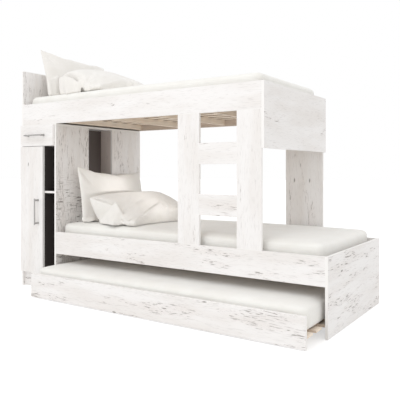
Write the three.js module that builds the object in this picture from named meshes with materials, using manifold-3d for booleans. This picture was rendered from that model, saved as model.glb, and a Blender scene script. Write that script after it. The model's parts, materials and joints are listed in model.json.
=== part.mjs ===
// Triple bunk bed with a cabinet at its head and a pull-out bed on wheels.
// Millimetres, +Z up. While it is drawn, x runs from the outer face of the head panel to the foot,
// y from the front face of the rails to the rear, and z up from the floor. The last lines move the
// origin to the middle of the footprint.

import * as THREE from 'three';
import { mergeVertices } from 'three/addons/utils/BufferGeometryUtils.js';
import Module from 'manifold-3d';

const wasm = await Module();
wasm.setup();

// The mattresses that the whole bed is made for, and the room round them
const mattressLength = 1900;
const mattressWidth = 800;
const mattressSideGap = 30.5;
const mattressFootGap = 29;
const upperMattressHeadGap = 3;
const lowerMattressHeadGap = 4;

// Boards, and the gap left under what rests loosely
const boardThickness = 15;
const easedEdge = 0.8;
const restingGap = 0.3;

// Bed frames
const headPanelRise = 245;
const railHeight = 150;
const upperRailBottom = 1155;
const lowerRailBottom = 257;
const endBoardHeight = 356;
const rearLegWidth = 265;

// Ladder
const postWidth = 150;
const ladderOpening = 245;
const rungHeight = 120;
const rungCount = 2;

// Slatted bases
const slatSeatHeight = 48;
const slatCount = 8;
const slatWidth = 70;
const slatThickness = 15;
const slatSideGap = 3;
const slatEndGap = 3;
const slatEdgeRound = 3;
const crossbarHeight = 40;
const crossbarThickness = 20;
const crossbarPitch = 400;
const crossbarPlaceShares = [-1.5, -0.5, 0.5, 1.5];

// Cabinet
const cabinetWidth = 362;
const plinthHeight = 104;
const plinthSetback = 17;
const nicheWidth = 103;
const frontModuleDepth = 310;
const recessWidth = 249;
const backPanelThickness = 3;
const shelfTop = 687;
const shelfSetback = 3;
const wardrobeShelfSetback = 25;
const recessShelfTop = 502;

// Drawer and door
const frontOverlay = 8;
const frontGap = 3;
const frontStandOff = 2;
const drawerFrontHeight = 149;
const drawerSideHeight = 92;
const drawerDepth = 272;
const drawerSideClearance = 1.5;
const drawerFloorClearance = 6;
const drawerBottomThickness = 3;
const runnerHeight = 16;
const runnerDepth = 8.5;
const runnerLength = 255;
const runnerClearance = 0.3;
const runnerInset = 8;
const runnerRise = 36;

// Handles
const handleSpacing = 160;
const handleBarDiameter = 10;
const handleBarOverhang = 6;
const handlePostDiameter = 13;
const handleFootDiameter = 17;
const handleFootThickness = 3;
const handleReach = 32;
const handleEndChamfer = 1.5;
const handlePostDip = 2.5;
const doorHandleInset = 46;
const doorHandleMiddle = 541;

// Door hinges
const hingeCupDiameter = 35;
const hingeCupDepth = 11;
const hingeCupInset = 5;
const hingeCupWall = 1.2;
const hingeFlangeThickness = 1.5;
const hingeFlangeHeight = 52;
const hingeFlangeWidth = 18;
const hingeEndDistance = 95;
const hingePlateLength = 60;
const hingePlateHeight = 16;
const hingePlateThickness = 8;
const hingePlateSetback = 9;
const hingePlateArmHeight = 12;
const hingePlateWingHeight = 44;
const hingePlateWingLength = 22;
const hingePlateWingThickness = 2;
const hingeLinkWidth = 23.5;
const hingeLinkHeight = 40;
const hingeLinkThickness = 3;
const boreClearance = 0.3;

// Mattress forms
const upperMattressThickness = 150;
const lowerMattressThickness = 145;
const trundleMattressThickness = 125;
const mattressCrown = 6;
const mattressEdgeRadius = 24;
const mattressCornerRadius = 45;
const mattressDrawIn = 5;

// Pillows
const pillowLength = 660;
const pillowThickness = 165;
const pillowDrawIn = 26;
const plumpShare = 0.8;
const lyingPillowHeight = 440;

// How each pillow lies: the distance of its lower seam from the wall behind it, the slope of its
// middle, how far it lies beside the bed's middle, its turn, and how far its seam sinks in
const upperStandingPillow = {
  height: 390,
  footDistance: 130,
  slope: THREE.MathUtils.degToRad(75),
  sideShift: 9.5,
  turn: 0,
  sink: 20,
};
const upperLyingPillow = {
  height: lyingPillowHeight,
  footDistance: 690,
  slope: THREE.MathUtils.degToRad(22),
  sideShift: -30.5,
  turn: THREE.MathUtils.degToRad(-5),
  sink: 0,
};
const lowerStandingPillow = {
  height: 410,
  footDistance: 148,
  slope: THREE.MathUtils.degToRad(81),
  sideShift: -3.5,
  turn: 0,
  sink: 14,
};
const lowerLyingPillow = {
  height: lyingPillowHeight,
  footDistance: 685,
  slope: THREE.MathUtils.degToRad(25),
  sideShift: -53.5,
  turn: THREE.MathUtils.degToRad(-7),
  sink: 0,
};

// Pull-out bed
const trundlePull = 217;
const trundleSideGap = 10;
const trundleCrossbarInset = 106.5;
const trundleWallGap = 7;
const trundleFloorGap = 5;
const trundleBoardHeight = 155;
const trundleRearBoardHeight = 95;
const trundleSlatTop = 67;
const trundleMattressHeadGap = 3;
const trundleMattressFrontGap = 20;

// Wheels
const wheelDiameter = 40;
const wheelWidth = 16;
const wheelHubWidth = 18;
const wheelHubDiameter = 14;
const wheelTreadRound = 3;
const wheelWebWidth = 7;
const wheelRimThickness = 5;
const axleDiameter = 6;
const axleHeadDiameter = 10;
const axleHeadThickness = 2;
const axlePlay = 0.4;
const wheelBracketWidth = 34;
const wheelBracketHeight = 36;
const wheelBracketThickness = 2.5;
const wheelEndDistance = 90;

// Cutting tools reach this far past what they cut
const overrun = 20;

// Points nearer than this are one point
const weldDistance = 1e-4;

// Smoothness of round forms
const roundSegments = 20;
const cornerSegments = 5;

// Outer sizes, from the mattresses
const overallDepth = mattressWidth + 2 * (mattressSideGap + boardThickness);
const overallLength = cabinetWidth + lowerMattressHeadGap + mattressLength + mattressFootGap
  + boardThickness;
const upperBedLength = 2 * boardThickness + upperMattressHeadGap + mattressLength + mattressFootGap;

// Levels and planes that several pieces share
const innerFront = boardThickness;
const rearPlane = overallDepth - boardThickness;
const headFace = boardThickness;
const upperInnerEnd = upperBedLength - boardThickness;
const lowerInnerEnd = overallLength - boardThickness;
const upperRailTop = upperRailBottom + railHeight;
const lowerRailTop = lowerRailBottom + railHeight;
const headPanelHeight = upperRailTop + headPanelRise;
const cabinetSideFace = cabinetWidth - boardThickness;
const dividerRight = cabinetSideFace - nicheWidth;
const dividerLeft = dividerRight - boardThickness;
const cabinetTopUnderside = upperRailBottom - boardThickness;
const cabinetRear = overallDepth - backPanelThickness;
const cabinetFloor = plinthHeight + boardThickness;
const nicheBackFront = frontModuleDepth - boardThickness;
const recessRear = frontModuleDepth + recessWidth;
const drawerFrontTop = upperRailBottom - frontGap;
const deckUnderside = drawerFrontTop - drawerFrontHeight;
const deckTop = deckUnderside + boardThickness;
const frontsLeft = headFace - frontOverlay;
const doorTop = deckUnderside - frontGap;
const frontBack = -frontStandOff;
const frontFace = frontBack - boardThickness;

// Materials
function finish(color, roughness, metalness) {
  return () => new THREE.MeshStandardMaterial({ color, roughness, metalness });
}

const whiteBoard = finish(0xf4f2ef, 0.55, 0);
const hardboard = finish(0xe9e6e1, 0.7, 0);
const pine = finish(0xd9c09a, 0.75, 0);
const satinMetal = finish(0x8c8986, 0.35, 0.9);
const zincSteel = finish(0xb4b6b8, 0.4, 0.9);
const whitePlastic = finish(0xe4e4e2, 0.5, 0);
const greyRubber = finish(0x6d6e70, 0.7, 0);
const mattressFabric = finish(0xf3f1ea, 0.9, 0);
const pillowFabric = finish(0xf1efea, 0.9, 0);

const bed = new THREE.Group();

function addMesh(name, geometry, material) {
  const mesh = new THREE.Mesh(geometry, material());
  mesh.name = name;
  bed.add(mesh);
  return mesh;
}

// Solids that are joined or cut
function toSolid(geometry) {
  const plain = geometry.clone();
  plain.deleteAttribute('normal');
  plain.deleteAttribute('uv');
  const merged = mergeVertices(plain, weldDistance);
  return new wasm.Manifold(new wasm.Mesh({
    numProp: 3,
    vertProperties: new Float32Array(merged.attributes.position.array),
    triVerts: new Uint32Array(merged.index.array),
  }));
}

function toGeometry(solid) {
  const mesh = solid.getMesh();
  const positions = new Float32Array(mesh.numVert * 3);
  for (let i = 0; i < mesh.numVert; i += 1) {
    for (let k = 0; k < 3; k += 1) {
      positions[3 * i + k] = mesh.vertProperties[mesh.numProp * i + k];
    }
  }
  const geometry = new THREE.BufferGeometry();
  geometry.setAttribute('position', new THREE.BufferAttribute(positions, 3));
  geometry.setIndex(new THREE.BufferAttribute(new Uint32Array(mesh.triVerts), 1));
  geometry.computeVertexNormals();
  return geometry;
}

function joined(geometries) {
  const [first, ...others] = geometries.map(toSolid);
  return toGeometry(others.reduce((sum, solid) => sum.add(solid), first));
}

function cut(geometry, tools) {
  return toGeometry(tools.map(toSolid).reduce((left, tool) => left.subtract(tool), toSolid(geometry)));
}

// Boards: an outline extruded by its thickness, every edge eased a little
function easedExtrusion(outline, thickness, edge = easedEdge) {
  const geometry = new THREE.ExtrudeGeometry(outline, {
    depth: thickness - 2 * edge,
    bevelEnabled: true,
    bevelThickness: edge,
    bevelSize: edge,
    bevelOffset: -edge,
    bevelSegments: 1,
  });
  return geometry.translate(0, 0, edge);
}

function outlineOf(points) {
  return new THREE.Shape(points.map(([u, v]) => new THREE.Vector2(u, v)));
}

function boxGeometry([x0, x1], [y0, y1], [z0, z1], edge = easedEdge) {
  const outline = outlineOf([[x0, y0], [x1, y0], [x1, y1], [x0, y1]]);
  return easedExtrusion(outline, z1 - z0, edge).translate(0, 0, z0);
}

function addBoard(name, x, y, z) {
  return addMesh(name, boxGeometry(x, y, z), whiteBoard);
}

// Turns an extrusion so that its outline's axes are y and z and its thickness runs along x
const standAcross = new THREE.Matrix4().makeBasis(
  new THREE.Vector3(0, 1, 0),
  new THREE.Vector3(0, 0, 1),
  new THREE.Vector3(1, 0, 0),
);

// Turns an extrusion so that its outline's axes are z and x and its thickness runs along y
const standAlong = new THREE.Matrix4().makeBasis(
  new THREE.Vector3(0, 0, 1),
  new THREE.Vector3(1, 0, 0),
  new THREE.Vector3(0, 1, 0),
);

// Head, foot, rails and rear leg
function addFrames() {
  const fullDepth = [0, overallDepth];
  const front = [0, innerFront];
  const rear = [rearPlane, overallDepth];
  const upperRail = [upperRailBottom, upperRailTop];
  const lowerRail = [lowerRailBottom, lowerRailTop];
  const upperSpan = [headFace, upperInnerEnd];
  const lowerSpan = [cabinetWidth, lowerInnerEnd];
  addBoard('head_panel', [0, headFace], fullDepth, [0, headPanelHeight]);
  addBoard('upper_front_rail', upperSpan, front, upperRail);
  addBoard('upper_rear_rail', upperSpan, rear, upperRail);
  addBoard('upper_end_board', [upperInnerEnd, upperBedLength], fullDepth,
    [upperRailTop - endBoardHeight, upperRailTop]);
  addBoard('lower_front_rail', lowerSpan, front, lowerRail);
  addBoard('lower_rear_rail', lowerSpan, rear, lowerRail);
  addBoard('foot_panel', [lowerInnerEnd, overallLength], fullDepth, [0, lowerRailTop]);
  addBoard('rear_leg_panel', [upperInnerEnd - rearLegWidth, upperInnerEnd], rear,
    [lowerRailTop, upperRailBottom]);
}

// Ladder: two posts between the rails and flat rungs with equal gaps
function addLadder() {
  const thickness = [0, innerFront];
  const rise = [lowerRailTop, upperRailBottom];
  const rightPost = upperInnerEnd - postWidth;
  const leftPostEnd = rightPost - ladderOpening;
  addBoard('ladder_post_left', [leftPostEnd - postWidth, leftPostEnd], thickness, rise);
  addBoard('ladder_post_right', [rightPost, upperInnerEnd], thickness, rise);
  const gap = (upperRailBottom - lowerRailTop - rungCount * rungHeight) / (rungCount + 1);
  for (let i = 0; i < rungCount; i += 1) {
    const bottom = lowerRailTop + gap + i * (gap + rungHeight);
    addBoard(`ladder_rung_${i + 1}`, [leftPostEnd, rightPost], thickness, [bottom, bottom + rungHeight]);
  }
}

// Slatted base: slats along the bed nailed onto crossbars that stand on edge
function slatBase(x0, x1, y0, y1, slatTop, crossbarCentres) {
  const slatBottom = slatTop - slatThickness;
  const firstSlat = y0 + slatSideGap;
  const pitch = (y1 - slatSideGap - slatWidth - firstSlat) / (slatCount - 1);
  const pieces = [];
  for (let i = 0; i < slatCount; i += 1) {
    const y = firstSlat + i * pitch;
    pieces.push(boxGeometry([x0, x1], [y, y + slatWidth], [slatBottom, slatTop], slatEdgeRound));
  }
  for (const centre of crossbarCentres) {
    const half = crossbarThickness / 2;
    const height = [slatBottom - crossbarHeight, slatBottom];
    pieces.push(boxGeometry([centre - half, centre + half], [y0, y1], height));
  }
  return joined(pieces);
}

function crossbarCentres(start, end, endInset) {
  const middle = (start + end) / 2;
  const between = crossbarPlaceShares.map((share) => middle + share * crossbarPitch);
  return [start + endInset, ...between, end - endInset];
}

function addFixedBase(name, start, end, railBottom) {
  const top = railBottom + slatSeatHeight + slatThickness;
  const centres = crossbarCentres(start, end, crossbarThickness / 2);
  const geometry = slatBase(start + slatEndGap, end - slatEndGap, innerFront, rearPlane, top, centres);
  addMesh(name, geometry, pine);
  return top;
}

// Cabinet boards
function addCabinet() {
  const inside = [headFace, cabinetSideFace];
  const side = [cabinetSideFace, cabinetWidth];
  const column = [dividerRight, cabinetSideFace];
  const columnHeight = [cabinetFloor, cabinetTopUnderside];
  const shelf = [shelfTop - boardThickness, shelfTop];
  addBoard('cabinet_side_front', side, [0, frontModuleDepth], [0, cabinetTopUnderside]);
  addBoard('cabinet_side_rear', side, [recessRear, cabinetRear], [0, cabinetTopUnderside]);
  addBoard('cabinet_top', [headFace, cabinetWidth], [0, cabinetRear],
    [cabinetTopUnderside, upperRailBottom]);
  addBoard('cabinet_bottom', inside, [0, cabinetRear], [plinthHeight, cabinetFloor]);
  addBoard('cabinet_plinth', inside, [plinthSetback, plinthSetback + boardThickness], [0, plinthHeight]);
  addBoard('drawer_deck', inside, [0, nicheBackFront], [deckUnderside, deckTop]);
  addBoard('niche_back', column, [nicheBackFront, frontModuleDepth], columnHeight);
  addBoard('recess_wall', column, [recessRear, recessRear + boardThickness], columnHeight);
  addBoard('niche_shelf', column, [shelfSetback, nicheBackFront], shelf);
  addBoard('recess_shelf', column, [frontModuleDepth, recessRear],
    [recessShelfTop - boardThickness, recessShelfTop]);
  addBoard('wardrobe_shelf', [headFace, dividerLeft], [wardrobeShelfSetback, cabinetRear], shelf);
  addMesh('cabinet_divider', dividerGeometry(), whiteBoard);
  addMesh('cabinet_back', boxGeometry([headFace, cabinetWidth], [cabinetRear, overallDepth],
    [plinthHeight, upperRailBottom]), hardboard);
}

// The divider is notched at its upper front corner, where the drawer passes
function dividerGeometry() {
  const outline = outlineOf([
    [0, cabinetFloor],
    [cabinetRear, cabinetFloor],
    [cabinetRear, cabinetTopUnderside],
    [nicheBackFront, cabinetTopUnderside],
    [nicheBackFront, deckUnderside],
    [0, deckUnderside],
  ]);
  return easedExtrusion(outline, boardThickness).applyMatrix4(standAcross).translate(dividerLeft, 0, 0);
}

// Bow handle: a round bar on two posts with small feet, its length along z and its feet at y = 0
function handleGeometry() {
  const barRadius = handleBarDiameter / 2;
  const halfLength = handleSpacing / 2 + handlePostDiameter / 2 + handleBarOverhang;
  const barProfile = [
    [0, -halfLength],
    [barRadius - handleEndChamfer, -halfLength],
    [barRadius, -halfLength + handleEndChamfer],
    [barRadius, halfLength - handleEndChamfer],
    [barRadius - handleEndChamfer, halfLength],
    [0, halfLength],
  ];
  const bar = lathed(barProfile).rotateX(Math.PI / 2).translate(0, -handleReach, 0);
  const postRadius = handlePostDiameter / 2;
  const footRadius = handleFootDiameter / 2;
  const postProfile = [
    [0, 0],
    [footRadius, 0],
    [footRadius, handleFootThickness],
    [postRadius, handleFootThickness + footRadius - postRadius],
    [postRadius, handleReach - handlePostDip],
    [postRadius - handleEndChamfer, handleReach],
    [0, handleReach],
  ];
  const posts = [-1, 1].map((side) => {
    return lathed(postProfile).rotateZ(Math.PI).translate(0, 0, side * handleSpacing / 2);
  });
  return joined([bar, ...posts]);
}

function lathed(profile, segments = roundSegments) {
  const points = profile.map(([radius, height]) => new THREE.Vector2(radius, height));
  return new THREE.LatheGeometry(points, segments);
}

// Door with its two cup hinges; the cups sit in bores in the door's back
function addDoor() {
  const panel = boxGeometry([frontsLeft, dividerRight], [frontFace, frontBack], [plinthHeight, doorTop]);
  const cupX = frontsLeft + hingeCupInset + hingeCupDiameter / 2;
  const heights = [plinthHeight + hingeEndDistance, doorTop - hingeEndDistance];
  const bores = heights.map((z) => {
    const length = hingeCupDepth + boreClearance + overrun;
    const radius = hingeCupDiameter / 2 + boreClearance;
    const bore = new THREE.CylinderGeometry(radius, radius, length, roundSegments);
    return bore.translate(cupX, frontBack + length / 2 - hingeCupDepth - boreClearance, z);
  });
  addMesh('door_panel', cut(panel, bores), whiteBoard);
  heights.forEach((z, i) => {
    const label = ['lower', 'upper'][i];
    addMesh(`hinge_cup_${label}`, hingeCupGeometry(), zincSteel).position.set(cupX, frontBack, z);
    const plate = addMesh(`hinge_plate_${label}`, hingePlateGeometry(), zincSteel);
    plate.position.set(headFace, hingePlateSetback, z);
  });
  const handle = addMesh('door_handle', handleGeometry(), satinMetal);
  handle.position.set(dividerRight - doorHandleInset, frontFace, doorHandleMiddle);
}

// Hinge cup: an open cup with a screw flange that lies on the door's back
function hingeCupGeometry() {
  const radius = hingeCupDiameter / 2;
  const cup = lathed([
    [0, -hingeCupDepth],
    [radius, -hingeCupDepth],
    [radius, hingeFlangeThickness],
    [radius - hingeCupWall, hingeFlangeThickness],
    [radius - hingeCupWall, hingeCupWall - hingeCupDepth],
    [0, hingeCupWall - hingeCupDepth],
  ]);
  const halfWidth = hingeFlangeWidth / 2;
  const halfHeight = hingeFlangeHeight / 2;
  const flange = boxGeometry([-halfWidth, halfWidth], [restingGap, hingeFlangeThickness],
    [-halfHeight, halfHeight], 0);
  const mouth = new THREE.CylinderGeometry(radius - hingeCupWall, radius - hingeCupWall,
    2 * overrun, roundSegments).translate(0, overrun + hingeCupWall - hingeCupDepth, 0);
  return cut(joined([cup, flange]), [mouth]);
}

// Hinge plate: a winged base screwed to the head panel, the arm clipped onto it, and at the arm's
// front end the link that the closed cup rests against
function hingePlateGeometry() {
  const linkFront = frontBack + hingeFlangeThickness + restingGap - hingePlateSetback;
  const arm = boxGeometry([0, hingePlateThickness], [linkFront, hingePlateLength],
    [-hingePlateArmHeight / 2, hingePlateArmHeight / 2]);
  const link = boxGeometry([0, hingeLinkWidth], [linkFront, linkFront + hingeLinkThickness],
    [-hingeLinkHeight / 2, hingeLinkHeight / 2]);
  const wingStart = (hingePlateLength - hingePlateWingLength) / 2;
  const wings = boxGeometry([0, hingePlateWingThickness], [wingStart, wingStart + hingePlateWingLength],
    [-hingePlateWingHeight / 2, hingePlateWingHeight / 2], 0);
  const base = boxGeometry([0, hingePlateThickness / 2], [wingStart, hingePlateLength],
    [-hingePlateHeight / 2, hingePlateHeight / 2], 0);
  return joined([arm, link, wings, base]);
}

// Drawer: overlaid front, a box with grooved sides, and fixed runners in the grooves
function addDrawer() {
  const left = headFace + drawerSideClearance;
  const right = cabinetSideFace - drawerSideClearance;
  const floor = deckTop + drawerFloorClearance;
  const boxTop = floor + drawerSideHeight;
  const insideLeft = left + boardThickness;
  const insideRight = right - boardThickness;
  addBoard('drawer_front', [frontsLeft, cabinetSideFace], [frontFace, frontBack],
    [deckUnderside, drawerFrontTop]);
  addMesh('drawer_side_left', drawerSideGeometry(left, floor, 1), whiteBoard);
  addMesh('drawer_side_right', drawerSideGeometry(right, floor, -1), whiteBoard);
  addBoard('drawer_back', [insideLeft, insideRight], [drawerDepth - boardThickness, drawerDepth],
    [floor, boxTop]);
  addMesh('drawer_bottom', boxGeometry([left, right], [frontBack, drawerDepth],
    [floor - drawerBottomThickness, floor]), hardboard);
  const handle = addMesh('drawer_handle', handleGeometry().rotateY(Math.PI / 2), satinMetal);
  const handleMiddle = (deckUnderside + drawerFrontTop) / 2;
  handle.position.set((frontsLeft + cabinetSideFace) / 2, frontFace, handleMiddle);
  const runnerBottom = floor + runnerRise;
  const along = [runnerInset, runnerInset + runnerLength];
  const height = [runnerBottom, runnerBottom + runnerHeight];
  addMesh('drawer_runner_left', boxGeometry([headFace, headFace + runnerDepth], along, height),
    whitePlastic);
  addMesh('drawer_runner_right', boxGeometry([cabinetSideFace - runnerDepth, cabinetSideFace], along,
    height), whitePlastic);
}

// A drawer side with the runner's groove open at its rear end; inward is +1 or -1 along x
function drawerSideGeometry(outerFace, floor, inward) {
  const innerFace = outerFace + inward * boardThickness;
  const grooveBottom = outerFace + inward * (runnerDepth - drawerSideClearance + runnerClearance);
  const grooveLow = floor + runnerRise - runnerClearance;
  const grooveHigh = floor + runnerRise + runnerHeight + runnerClearance;
  const side = boxGeometry([Math.min(outerFace, innerFace), Math.max(outerFace, innerFace)],
    [frontBack, drawerDepth], [floor, floor + drawerSideHeight]);
  const outside = outerFace - inward * overrun;
  const groove = boxGeometry([Math.min(outside, grooveBottom), Math.max(outside, grooveBottom)],
    [runnerInset - runnerClearance, drawerDepth + overrun], [grooveLow, grooveHigh], 0);
  return cut(side, [groove]);
}

// Mattress: rings of one rounded outline, drawn in at the sides, from the flat base to the crown
function mattressGeometry(length, width, thickness) {
  const radius = mattressEdgeRadius;
  const rings = [];
  const bendSteps = [0, 1, 2, 3];
  for (const step of bendSteps) {
    const angle = (step / (bendSteps.length - 1)) * Math.PI / 2;
    rings.push({ inset: radius * (1 - Math.sin(angle)), z: radius * (1 - Math.cos(angle)), waist: 0 });
  }
  rings.push({ inset: 0, z: thickness / 2, waist: 1 });
  for (const step of bendSteps) {
    const angle = (step / (bendSteps.length - 1)) * Math.PI / 2;
    rings.push({
      inset: radius * (1 - Math.cos(angle)),
      z: thickness - radius * (1 - Math.sin(angle)),
      waist: 0,
    });
  }
  const crownShares = [0.35, 0.75];
  for (const share of crownShares) {
    const inset = radius + share * (width / 2 - radius);
    rings.push({ inset, z: thickness + mattressCrown * Math.sin(share * Math.PI / 2), waist: 0 });
  }
  const rows = rings.map(({ inset, z, waist }) => mattressRing(length, width, inset, z, waist));
  return skinned(rows, [length / 2, width / 2, 0], [length / 2, width / 2, thickness + mattressCrown]);
}

// One ring of the mattress; its long and short sides bow in a little at the waist
function mattressRing(length, width, inset, z, waist) {
  const corner = Math.max(mattressCornerRadius - inset, mattressEdgeRadius / 4);
  const sideSteps = 6;
  const points = [];
  const corners = [
    [length - inset - corner, inset + corner, -Math.PI / 2],
    [length - inset - corner, width - inset - corner, 0],
    [inset + corner, width - inset - corner, Math.PI / 2],
    [inset + corner, inset + corner, Math.PI],
  ];
  corners.forEach(([cx, cy, start], i) => {
    for (let k = 0; k <= cornerSegments; k += 1) {
      const angle = start + (k / cornerSegments) * Math.PI / 2;
      points.push([cx + corner * Math.cos(angle), cy + corner * Math.sin(angle), z]);
    }
    const from = points[points.length - 1];
    const [nx, ny, nStart] = corners[(i + 1) % corners.length];
    const to = [nx + corner * Math.cos(nStart), ny + corner * Math.sin(nStart)];
    for (let k = 1; k < sideSteps; k += 1) {
      const share = k / sideSteps;
      const bow = mattressDrawIn * waist * Math.sin(share * Math.PI);
      const run = Math.hypot(to[0] - from[0], to[1] - from[1]);
      const normal = [-(to[1] - from[1]) / run, (to[0] - from[0]) / run];
      points.push([
        from[0] + (to[0] - from[0]) * share + normal[0] * bow,
        from[1] + (to[1] - from[1]) * share + normal[1] * bow,
        z,
      ]);
    }
  });
  return points;
}

// Closed skin over rows of equal length, with a middle point at each end
function skinned(rows, firstMiddle, lastMiddle) {
  const count = rows[0].length;
  const positions = [...rows.flat(2), ...firstMiddle, ...lastMiddle];
  const firstIndex = rows.length * count;
  const indices = [];
  for (let i = 0; i < count; i += 1) {
    const next = (i + 1) % count;
    for (let row = 0; row < rows.length - 1; row += 1) {
      const a = row * count + i;
      const b = row * count + next;
      indices.push(a, b, b + count, a, b + count, a + count);
    }
    const last = (rows.length - 1) * count;
    indices.push(firstIndex, next, i, firstIndex + 1, last + i, last + next);
  }
  const geometry = new THREE.BufferGeometry();
  geometry.setAttribute('position', new THREE.Float32BufferAttribute(positions, 3));
  geometry.setIndex(indices);
  geometry.computeVertexNormals();
  return geometry;
}

// Adds a mattress and returns the form that a pillow on it is cut to, a resting gap above its top
function addMattress(name, start, front, slatTop, thickness) {
  const bottom = slatTop + restingGap;
  const geometry = mattressGeometry(mattressLength, mattressWidth, thickness);
  addMesh(name, geometry, mattressFabric).position.set(start, front, bottom);
  const seat = mattressGeometry(mattressLength, mattressWidth, thickness + restingGap);
  const top = bottom + thickness + mattressCrown + restingGap;
  return { seat: seat.translate(start, front, bottom), top };
}

// Pillow: two crowned sides that meet in a seam; the seam is drawn in between the four corners.
// Its length runs along y, its height along x, and its middle is at the origin.
function pillowGeometry(height, grow) {
  const alongSteps = 14;
  const acrossSteps = 10;
  const halfLength = pillowLength / 2 + grow;
  const halfHeight = height / 2 + grow;
  const halfThickness = pillowThickness / 2 + grow;
  const positions = [];
  const indices = [];
  const index = new Map();
  function vertex(i, j, side) {
    const onSeam = i === 0 || j === 0 || i === acrossSteps || j === alongSteps;
    const key = `${i} ${j} ${onSeam ? 0 : side}`;
    if (!index.has(key)) {
      const u = Math.sin((i / acrossSteps - 1 / 2) * Math.PI);
      const v = Math.sin((j / alongSteps - 1 / 2) * Math.PI);
      const swell = Math.sqrt(Math.max(0, (1 - u ** 2) * (1 - v ** 2)));
      index.set(key, positions.length / 3);
      positions.push(
        u * (halfHeight - pillowDrawIn * (1 - v ** 2)),
        v * (halfLength - pillowDrawIn * (1 - u ** 2)),
        onSeam ? 0 : side * halfThickness * Math.pow(swell, plumpShare),
      );
    }
    return index.get(key);
  }
  for (const side of [1, -1]) {
    for (let i = 0; i < acrossSteps; i += 1) {
      for (let j = 0; j < alongSteps; j += 1) {
        const a = vertex(i, j, side);
        const b = vertex(i + 1, j, side);
        const c = vertex(i + 1, j + 1, side);
        const d = vertex(i, j + 1, side);
        const faces = side > 0 ? [a, b, c, a, c, d] : [a, c, b, a, d, c];
        indices.push(...faces);
      }
    }
  }
  const geometry = new THREE.BufferGeometry();
  geometry.setAttribute('position', new THREE.Float32BufferAttribute(positions, 3));
  geometry.setIndex(indices);
  return geometry;
}

// A pillow in its pose, its upper seam turned towards the wall
function placedPillow(wall, top, pose, grow = 0) {
  const reach = pose.height / 2;
  const geometry = pillowGeometry(pose.height, grow);
  geometry.rotateY(pose.slope);
  geometry.rotateZ(pose.turn);
  return geometry.translate(
    wall + pose.footDistance - reach * Math.cos(pose.slope),
    overallDepth / 2 + pose.sideShift,
    top - pose.sink + reach * Math.sin(pose.slope),
  );
}

// Two pillows at a bed's head: one stands against the wall, one lies on the mattress and leans on it
function addPillows(label, wall, mattress, standingPose, lyingPose) {
  const standing = placedPillow(wall, mattress.top, standingPose);
  const besideStanding = placedPillow(wall, mattress.top, standingPose, restingGap);
  const behind = boxGeometry([wall - pillowLength, wall + restingGap],
    [-overallDepth, 2 * overallDepth], [mattress.top - pillowLength, mattress.top + pillowLength], 0);
  const lying = placedPillow(wall, mattress.top, lyingPose);
  addMesh(`${label}_pillow_standing`, cut(standing, [mattress.seat, behind]), pillowFabric);
  addMesh(`${label}_pillow_lying`, cut(lying, [mattress.seat, besideStanding]), pillowFabric);
}

// Pull-out bed
function addTrundle() {
  const start = cabinetWidth + trundleSideGap;
  const end = lowerInnerEnd - trundleSideGap;
  const frontFace = -trundlePull;
  const frontInner = frontFace + boardThickness;
  const rearFace = frontFace + overallDepth - trundleWallGap;
  const rearInner = rearFace - boardThickness;
  addBoard('trundle_front_board', [start, end], [frontFace, frontInner],
    [trundleFloorGap, trundleFloorGap + trundleBoardHeight]);
  addBoard('trundle_rear_board', [start, end], [rearInner, rearFace],
    [trundleFloorGap, trundleFloorGap + trundleRearBoardHeight]);
  const centres = crossbarCentres(start, end, trundleCrossbarInset);
  const base = slatBase(start, end, frontInner, rearInner, trundleSlatTop, centres);
  addMesh('trundle_slat_base', base, pine);
  addMattress('trundle_mattress', start + trundleMattressHeadGap, frontInner + trundleMattressFrontGap,
    trundleSlatTop, trundleMattressThickness);
  const faceDistance = trundleCrossbarInset + crossbarThickness / 2;
  const ends = [['head', start + faceDistance, 1], ['foot', end - faceDistance, -1]];
  const rows = [['front', frontInner + wheelEndDistance], ['rear', rearInner - wheelEndDistance]];
  for (const [endLabel, face, side] of ends) {
    for (const [rowLabel, y] of rows) {
      addWheel(`${rowLabel}_${endLabel}`, face, y, side);
    }
  }
}

// Wheel on a bracket; the bracket's plate is screwed to a crossbar and its axle points along x
function addWheel(label, face, y, side) {
  const bracket = addMesh(`wheel_bracket_${label}`, wheelBracketGeometry(), zincSteel);
  bracket.position.set(face, y, wheelDiameter / 2);
  const wheel = addMesh(`wheel_${label}`, wheelGeometry(), greyRubber);
  wheel.position.set(face, y, wheelDiameter / 2);
  if (side < 0) {
    bracket.rotation.z = Math.PI;
    wheel.rotation.z = Math.PI;
  }
}

function wheelBracketGeometry() {
  const plateTop = trundleSlatTop - slatThickness - wheelDiameter / 2 - restingGap;
  const plate = boxGeometry([0, wheelBracketThickness], [-wheelBracketWidth / 2, wheelBracketWidth / 2],
    [plateTop - wheelBracketHeight, plateTop], 0);
  const shaftEnd = wheelBracketThickness + 2 * axlePlay + wheelHubWidth;
  const axle = lathed([
    [0, 0],
    [axleDiameter / 2, 0],
    [axleDiameter / 2, shaftEnd],
    [axleHeadDiameter / 2, shaftEnd],
    [axleHeadDiameter / 2, shaftEnd + axleHeadThickness],
    [0, shaftEnd + axleHeadThickness],
  ], roundSegments).rotateZ(-Math.PI / 2);
  return joined([plate, axle]);
}

function wheelGeometry() {
  const radius = wheelDiameter / 2;
  const bore = axleDiameter / 2 + restingGap;
  const hub = wheelHubDiameter / 2;
  const rim = radius - wheelRimThickness;
  const middle = wheelHubWidth / 2;
  const web = wheelWebWidth / 2;
  const tread = wheelWidth / 2;
  const half = [
    [bore, middle],
    [hub, middle],
    [hub, web],
    [rim, web],
    [rim, tread],
    [radius - wheelTreadRound, tread],
    [radius, tread - wheelTreadRound],
  ];
  const mirrored = half.map(([r, h]) => [r, -h]);
  const profile = [...mirrored, ...half.reverse()];
  profile.push(profile[0]);
  const wheel = lathed(profile, roundSegments).rotateZ(-Math.PI / 2);
  return wheel.translate(wheelBracketThickness + axlePlay + middle, 0, 0);
}

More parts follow.
